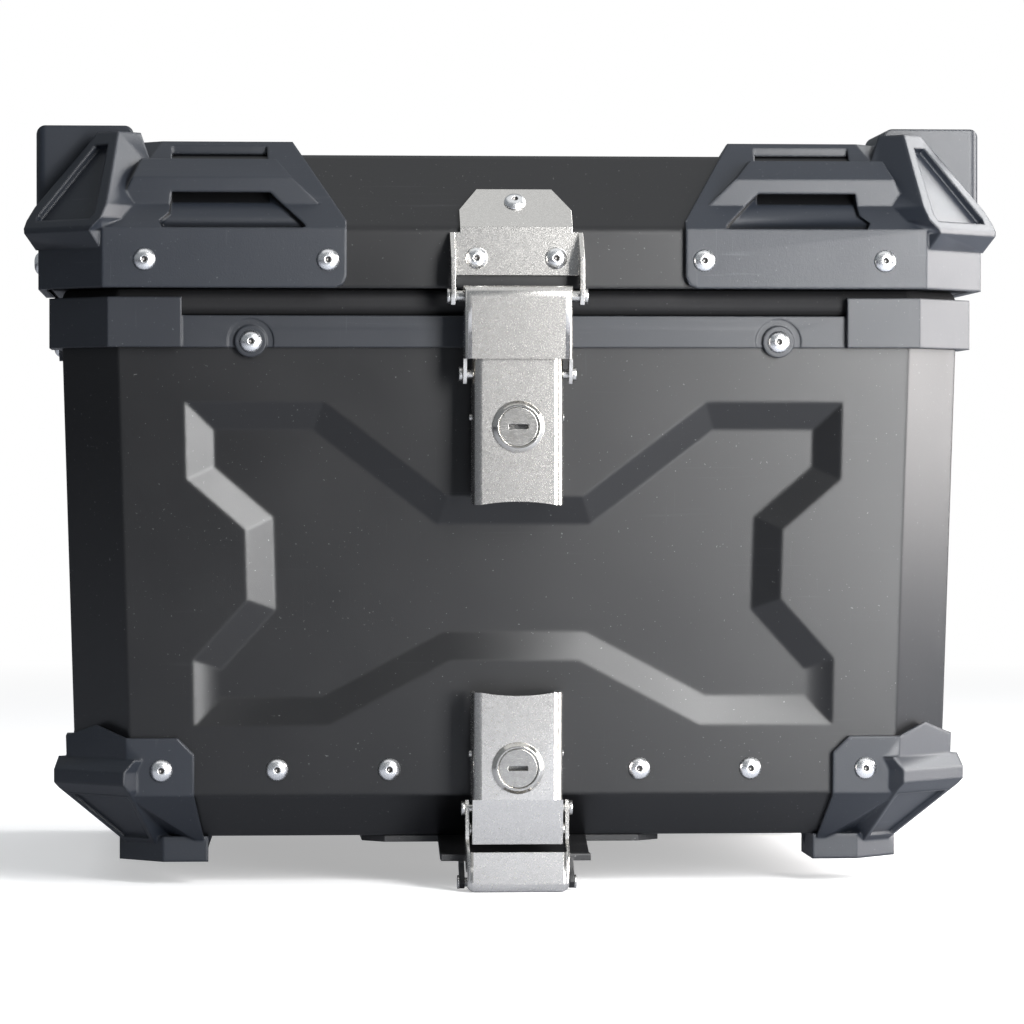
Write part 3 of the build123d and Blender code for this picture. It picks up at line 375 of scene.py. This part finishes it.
def round_edges(work, width, low, high, segments, shortest):
    """Rounds the edges whose angle in degrees lies between low and high and that are long enough."""
    chosen = [
        edge for edge in work.edges
        if len(edge.link_faces) == 2
        and edge.calc_length() > shortest
        and math.radians(low) < edge.calc_face_angle(0.0) <= math.radians(high)
    ]
    if chosen:
        bmesh.ops.bevel(work, geom=chosen, offset=width, offset_type="OFFSET", segments=segments,
                        profile=0.5, affect="EDGES", clamp_overlap=True, miter_outer="SHARP")


def even_shading(obj, sharp=38.0):
    """Smooth shading weighted by face size, so broad faces stay flat and rounded edges stay round."""
    obj.data.polygons.foreach_set("use_smooth", [True] * len(obj.data.polygons))
    obj.data.set_sharp_from_angle(angle=math.radians(sharp))
    weighted = obj.modifiers.new("even_shading", "WEIGHTED_NORMAL")
    weighted.keep_sharp = True
    weighted.weight = 80
    finished = evaluated_mesh(obj)
    obj.modifiers.clear()
    obj.data = finished
    obj.data.name = obj.name


def worked(node, material, passes, shortest=2.5 * MM):
    """A finished copy of a node: merged, its flats joined, and its edges rounded pass by pass."""
    work = bmesh.new()
    work.from_mesh(frame["nodes"][node].data)
    bmesh.ops.remove_doubles(work, verts=work.verts, dist=TOUCHING)
    bmesh.ops.dissolve_limit(work, angle_limit=math.radians(0.6), verts=work.verts, edges=work.edges)
    for width, low, high, segments in passes:
        round_edges(work, width, low, high, segments, shortest)
    mesh = bpy.data.meshes.new(node + "_finished")
    work.to_mesh(mesh)
    work.free()
    obj = new_object(node + "_finished", mesh)
    even_shading(obj)
    return put_on(obj, [node], material)


CORNERS = ("front_right", "front_left", "rear_right", "rear_left")
# rounding passes: (width, least and greatest angle in degrees, segments)
CUT_EDGE = (0.0003, 60, 120, 2)
SHEET_EDGES = [(0.0003, 60, 100, 2)]
PLASTIC_EDGES = [(0.0007, 18, 120, 3)]
HARDWARE_EDGES = [(0.0002, 40, 120, 2)]
FELT_EDGES = [(0.0015, 30, 120, 3)]

worked("body_shell", POWDER, [(0.0026, 12, 50, 4), CUT_EDGE], 12 * MM)
worked("lid_shell", POWDER, [(0.0022, 12, 50, 4), CUT_EDGE], 12 * MM)
worked("floor_pan", PAN_ALUMINIUM, SHEET_EDGES, 8 * MM)
worked("mouth_ring", RING_PLASTIC, PLASTIC_EDGES)
worked("lid_rim", RING_PLASTIC, PLASTIC_EDGES)
worked("mouth_seal", SEAL_RUBBER, [(0.0012, 12, 120, 3)])
worked("floor_mat", LINING_FELT, FELT_EDGES)
worked("lid_pad", LINING_FELT, FELT_EDGES)
for corner in CORNERS:
    worked("lid_guard_" + corner, GUARD_PLASTIC, PLASTIC_EDGES)
    worked("lower_cap_" + corner, GUARD_PLASTIC, PLASTIC_EDGES)
for node in ("lid_bracket", "top_latch_base", "top_lever", "top_link", "low_latch_base", "low_lever", "low_bail"):
    worked(node, LATCH_STEEL, HARDWARE_EDGES, 1.0 * MM)
for node in ("hinge_body_leaf", "hinge_lid_leaf"):
    worked(node, HINGE_COAT, HARDWARE_EDGES)
for node in ("rack_plate", "plate_tongues"):
    worked(node, PLATE_COAT, [(0.0003, 40, 120, 2)])
for node in ("top_pivot_pin", "top_link_pin", "low_pivot_pin", "low_bail_pin", "lid_hook_pin", "plate_hook_pin",
             "hinge_pin", "top_lever_studs", "low_lever_studs"):
    worked(node, PIN_STEEL, [(0.0002, 60, 120, 2)], 0.2 * MM)
for side in ("top", "low"):
    worked(side + "_lock_body", LOCK_NICKEL, [(0.0002, 25, 120, 2)], 0.2 * MM)
    worked(side + "_lock_plug", LOCK_FACE, [(0.00015, 25, 120, 2)], 0.2 * MM)
    worked(side + "_lock_cam", PIN_STEEL, [(0.0002, 60, 120, 2)], 1.0 * MM)
    worked(side + "_lock_nut", PIN_STEEL, [(0.0002, 50, 120, 2)], 1.0 * MM)


# ---- blind rivets ----------------------------------------------------------
# half profile of a rivet, from the mandrel hole out over the dome and down the shank:
# (distance from the axis, height) in head radii
RIVET_PROFILE = [
    (0.0, 0.17), (0.21, 0.17), (0.26, 0.44), (0.30, 0.475), (0.36, 0.47), (0.55, 0.43), (0.74, 0.345),
    (0.88, 0.235), (0.97, 0.12), (1.0, 0.05), (1.0, 0.0), (0.51, -0.01), (0.51, -0.60), (0.66, -0.72),
    (0.66, -1.0), (0.0, -1.04),
]
MANDREL_RINGS = 2


def rivet_tree():
    """Geometry Nodes: turns the profile round each point's axis and rolls every rivet its own way."""
    tree = bpy.data.node_groups.new("blind_rivets", "GeometryNodeTree")
    face = tree.interface
    face.new_socket("Places", in_out="INPUT", socket_type="NodeSocketGeometry")
    for label, value in (("Head radius", RIVET_HEAD_RADIUS), ("Tilt", 0.02)):
        face.new_socket(label, in_out="INPUT", socket_type="NodeSocketFloat").default_value = value
    face.new_socket("Segments", in_out="INPUT", socket_type="NodeSocketInt").default_value = 40
    face.new_socket("Head metal", in_out="INPUT", socket_type="NodeSocketMaterial")
    face.new_socket("Mandrel metal", in_out="INPUT", socket_type="NodeSocketMaterial")
    face.new_socket("Rivets", in_out="OUTPUT", socket_type="NodeSocketGeometry")
    nodes, links = tree.nodes, tree.links
    into, out = nodes.new("NodeGroupInput"), nodes.new("NodeGroupOutput")

    def calc(operation, a, b=None):
        return math_node(tree, operation, a, b)

    rings = len(RIVET_PROFILE)
    grid = nodes.new("GeometryNodeMeshGrid")
    grid.inputs["Vertices Y"].default_value = rings
    links.new(into.outputs["Segments"], grid.inputs["Vertices X"])
    place = nodes.new("ShaderNodeSeparateXYZ")
    links.new(nodes.new("GeometryNodeInputPosition").outputs[0], place.inputs[0])
    turn = calc("MULTIPLY", calc("ADD", place.outputs["X"], 0.5), -2 * math.pi)
    step = calc("ADD", place.outputs["Y"], 0.5)

    def profile(values, low, high):
        """A curve node through the profile's values, one for each ring."""
        node = nodes.new("ShaderNodeFloatCurve")
        links.new(step, node.inputs["Value"])
        curve = node.mapping.curves[0]
        for i, value in enumerate(values):
            height = (value - low) / (high - low)
            if i in (0, rings - 1):
                point = curve.points[0 if i == 0 else -1]
                point.location = (float(i > 0), height)
            else:
                point = curve.points.new(i / (rings - 1), height)
            point.handle_type = "VECTOR"
        node.mapping.update()
        return calc("ADD", calc("MULTIPLY", node.outputs[0], high - low), low)

    radius = calc("MULTIPLY", profile([r for r, z in RIVET_PROFILE], 0.0, 1.0), into.outputs["Head radius"])
    height = calc("MULTIPLY", profile([z for r, z in RIVET_PROFILE], -1.2, 0.8), into.outputs["Head radius"])
    spot = nodes.new("ShaderNodeCombineXYZ")
    links.new(calc("MULTIPLY", radius, calc("COSINE", turn)), spot.inputs["X"])
    links.new(calc("MULTIPLY", radius, calc("SINE", turn)), spot.inputs["Y"])
    links.new(height, spot.inputs["Z"])
    metal = nodes.new("GeometryNodeSetMaterial")
    links.new(grid.outputs["Mesh"], metal.inputs["Geometry"])
    links.new(into.outputs["Head metal"], metal.inputs["Material"])
    hole = nodes.new("GeometryNodeSetMaterial")
    links.new(metal.outputs[0], hole.inputs["Geometry"])
    links.new(into.outputs["Mandrel metal"], hole.inputs["Material"])
    links.new(calc("LESS_THAN", step, MANDREL_RINGS / (rings - 1)), hole.inputs["Selection"])
    turned = nodes.new("GeometryNodeSetPosition")
    links.new(hole.outputs[0], turned.inputs["Geometry"])
    links.new(spot.outputs[0], turned.inputs["Position"])
    closed = nodes.new("GeometryNodeMergeByDistance")
    closed.inputs["Distance"].default_value = 1e-6
    links.new(turned.outputs[0], closed.inputs["Geometry"])
    smooth = nodes.new("GeometryNodeSetShadeSmooth")
    links.new(closed.outputs[0], smooth.inputs["Geometry"])

    direction = nodes.new("GeometryNodeInputNamedAttribute")
    direction.data_type = "FLOAT_VECTOR"
    direction.inputs["Name"].default_value = "direction"
    stand = nodes.new("FunctionNodeAlignRotationToVector")
    stand.axis = "Z"
    links.new(direction.outputs["Attribute"], stand.inputs["Vector"])
    loose = nodes.new("FunctionNodeRandomValue")
    loose.data_type = "FLOAT_VECTOR"
    loose.inputs["Seed"].default_value = 7
    lean = nodes.new("ShaderNodeCombineXYZ")
    links.new(into.outputs["Tilt"], lean.inputs["X"])
    links.new(into.outputs["Tilt"], lean.inputs["Y"])
    lean.inputs["Z"].default_value = math.pi
    links.new(lean.outputs[0], loose.inputs["Max"])
    back = nodes.new("ShaderNodeVectorMath")
    back.operation = "SCALE"
    back.inputs["Scale"].default_value = -1.0
    links.new(lean.outputs[0], back.inputs[0])
    links.new(back.outputs[0], loose.inputs["Min"])
    to_turn = nodes.new("FunctionNodeEulerToRotation")
    links.new(loose.outputs["Value"], to_turn.inputs[0])
    rotate = nodes.new("FunctionNodeRotateRotation")
    rotate.rotation_space = "LOCAL"
    links.new(stand.outputs[0], rotate.inputs["Rotation"])
    links.new(to_turn.outputs[0], rotate.inputs["Rotate By"])
    copies = nodes.new("GeometryNodeInstanceOnPoints")
    links.new(into.outputs["Places"], copies.inputs["Points"])
    links.new(smooth.outputs[0], copies.inputs["Instance"])
    links.new(rotate.outputs[0], copies.inputs["Rotation"])
    real = nodes.new("GeometryNodeRealizeInstances")
    links.new(copies.outputs[0], real.inputs[0])
    links.new(real.outputs[0], out.inputs[0])
    return tree


def islands(mesh):
    """The separate solids of a mesh, each as a list of points."""
    work = bmesh.new()
    work.from_mesh(mesh)
    bmesh.ops.remove_doubles(work, verts=work.verts, dist=TOUCHING)
    left = set(work.verts)
    found = []
    while left:
        stack = [left.pop()]
        points = []
        while stack:
            vert = stack.pop()
            points.append(vert.co.copy())
            for edge in vert.link_edges:
                other = edge.other_vert(vert)
                if other in left:
                    left.remove(other)
                    stack.append(other)
        found.append(points)
    work.free()
    return found


def seat_of(points):
    """Where a rivet's head sits and which way it faces: the head's rim is the widest ring."""
    centre = sum(points, Vector()) / len(points)
    best = None
    for axis in ((1, 0, 0), (0, 1, 0), (0, 0, 1), (0, -1, 1)):
        line = Vector(axis).normalized()
        middle = [line * (p - centre).dot(line) for p in points]
        reach = max((p - centre - m).length for p, m in zip(points, middle))
        if best is None or reach < best[0]:
            best = (reach, line)
    reach, line = best
    rim = [(p - centre).dot(line) for p in points
           if ((p - centre) - line * (p - centre).dot(line)).length > 0.95 * reach]
    ends = [(p - centre).dot(line) for p in points]
    low, high = min(rim), max(rim)
    if max(ends) - high < low - min(ends):
        return centre + line * low, line
    return centre + line * high, -line


def rivets(name, nodes, tree):
    """All the blind rivets of one body as one mesh, standing on the frame's rivet seats."""
    seats = [seat_of(points) for node in nodes for points in islands(frame["nodes"][node].data)]
    places = bpy.data.meshes.new(name + "_places")
    places.from_pydata([tuple(seat) for seat, line in seats], [], [])
    ways = places.attributes.new("direction", "FLOAT_VECTOR", "POINT")
    ways.data.foreach_set("vector", [c for seat, line in seats for c in line])
    source = new_object(name + "_places", places)
    modifier = source.modifiers.new("rivets", "NODES")
    modifier.node_group = tree
    sockets = {item.name: item.identifier for item in tree.interface.items_tree if item.in_out == "INPUT"}
    modifier[sockets["Head radius"]] = RIVET_HEAD_RADIUS
    modifier[sockets["Tilt"]] = 0.02
    modifier[sockets["Segments"]] = 40
    modifier[sockets["Head metal"]] = RIVET_ALUMINIUM
    modifier[sockets["Mandrel metal"]] = MANDREL_STEEL
    mesh = evaluated_mesh(source)
    bpy.data.objects.remove(source)
    return put_on(new_object(name, mesh), nodes)


RIVETS = rivet_tree()
rivets("case_rivets", ["mouth_ring_rivets", "cap_rivets", "wall_rivets", "hinge_body_rivets", "top_base_rivets",
                       "low_base_rivets", "tongue_rivets"], RIVETS)
rivets("lid_rivets", ["lid_guard_rivets", "bracket_rivets", "hinge_lid_rivets"], RIVETS)


# ---- floor, light and camera -----------------------------------------------
def floor_material():
    """Pale floor that the camera sees fade into the surround a few metres out; it glows for the camera, a painted
    light that lightens the shadows on it, and shows reflections a darker floor, a painted shade in what the case
    reflects.
    """
    material, tree, shader = new_material("floor_pale")
    shader.inputs["Roughness"].default_value = 0.9
    place = tree.nodes.new("ShaderNodeTexCoord").outputs["Object"]
    far = tree.nodes.new("ShaderNodeVectorMath")
    far.operation = "LENGTH"
    tree.links.new(place, far.inputs[0])
    fade = range_node(tree, far.outputs["Value"], 0.5, 2.2)
    seen = tree.nodes.new("ShaderNodeLightPath").outputs["Is Camera Ray"]
    # Reflections and bounced light see a darker bluish floor than the camera does: painted shade in what the case
    # reflects.
    near = mix_colour(tree, seen, (0.42, 0.44, 0.48, 1.0), (0.84, 0.84, 0.84, 1.0))
    tree.links.new(mix_colour(tree, fade, near, (0.0, 0.0, 0.0, 1.0)), shader.inputs["Base Color"])
    # The floor glows for the camera, 0.4 near the case rising to full white far out: near the case this glow is
    # painted light that lightens the shadows on the floor. Other rays see it barely glow.
    lit = mix_colour(tree, fade, (0.40, 0.40, 0.40, 1.0), (1.0, 1.0, 1.0, 1.0))
    tree.links.new(mix_colour(tree, seen, (0.05, 0.05, 0.06, 1.0), lit), shader.inputs["Emission Color"])
    shader.inputs["Emission Strength"].default_value = 1.0
    shader.inputs["Specular IOR Level"].default_value = 0.0
    return material


def floor(level):
    """A wide pale disc under the case."""
    work = bmesh.new()
    bmesh.ops.create_circle(work, cap_ends=True, segments=96, radius=30.0)
    bmesh.ops.translate(work, verts=work.verts, vec=(0, 0, level))
    mesh = bpy.data.meshes.new("floor")
    work.to_mesh(mesh)
    work.free()
    obj = new_object("floor", mesh)
    mesh.materials.append(floor_material())


def aimed(obj, place, target):
    """Stands a lamp or camera at a place, facing the target."""
    obj.location = place
    obj.rotation_mode = "QUATERNION"
    obj.rotation_quaternion = (Vector(target) - Vector(place)).to_track_quat("-Z", "Y")
    return obj


def lamp(name, place, target, size, power, colour=(1.0, 1.0, 1.0)):
    """A soft rectangular lamp that faces the target."""
    data = bpy.data.lights.new(name, "AREA")
    data.shape = "RECTANGLE"
    data.size, data.size_y = size
    data.energy = power
    data.color = colour
    aimed(new_object(name, data), place, target)


def studio():
    """A dim room, four soft lamps mostly on the right, and a pale surround that only the camera sees."""
    world = bpy.data.worlds.new("studio")
    bpy.context.scene.world = world
    world.use_nodes = True
    tree = world.node_tree
    room = tree.nodes["Background"]
    room.inputs["Color"].default_value = (0.86, 0.93, 1.0, 1.0)
    room.inputs["Strength"].default_value = 0.28
    surround = tree.nodes.new("ShaderNodeBackground")
    surround.inputs["Color"].default_value = (1.0, 1.0, 1.0, 1.0)
    surround.inputs["Strength"].default_value = 1.0
    seen = tree.nodes.new("ShaderNodeLightPath")
    both = tree.nodes.new("ShaderNodeMixShader")
    tree.links.new(seen.outputs["Is Camera Ray"], both.inputs[0])
    tree.links.new(room.outputs[0], both.inputs[1])
    tree.links.new(surround.outputs[0], both.inputs[2])
    tree.links.new(both.outputs[0], tree.nodes["World Output"].inputs["Surface"])
    lamp("front_right_strip", (0.45, -1.0, 0.25), (0.12, -0.18, 0.15), (0.30, 1.2), 30.0)
    lamp("right_side", (1.3, -0.10, 0.38), (0.18, -0.1, 0.18), (0.9, 0.9), 34.0, (1.0, 0.97, 0.96))
    lamp("right_above", (1.07, 0.44, 1.02), (0.19, -0.16, 0.28), (0.6, 0.6), 13.0)
    lamp("overhead", (0.0, -0.2, 2.0), (0.0, -0.2, 0.0), (2.6, 2.6), 13.0)
    bpy.context.scene.view_settings.view_transform = "Standard"


def camera():
    """A long lens from the front, a little to the left and level with the case."""
    data = bpy.data.cameras.new("camera")
    data.lens = 165.6
    data.sensor_width = 36.0
    obj = aimed(new_object("camera", data), (-0.130, -2.185, 0.161), (-0.002, -0.185, 0.143))
    bpy.context.scene.camera = obj


floor(cad_box[0].z)
studio()
camera()
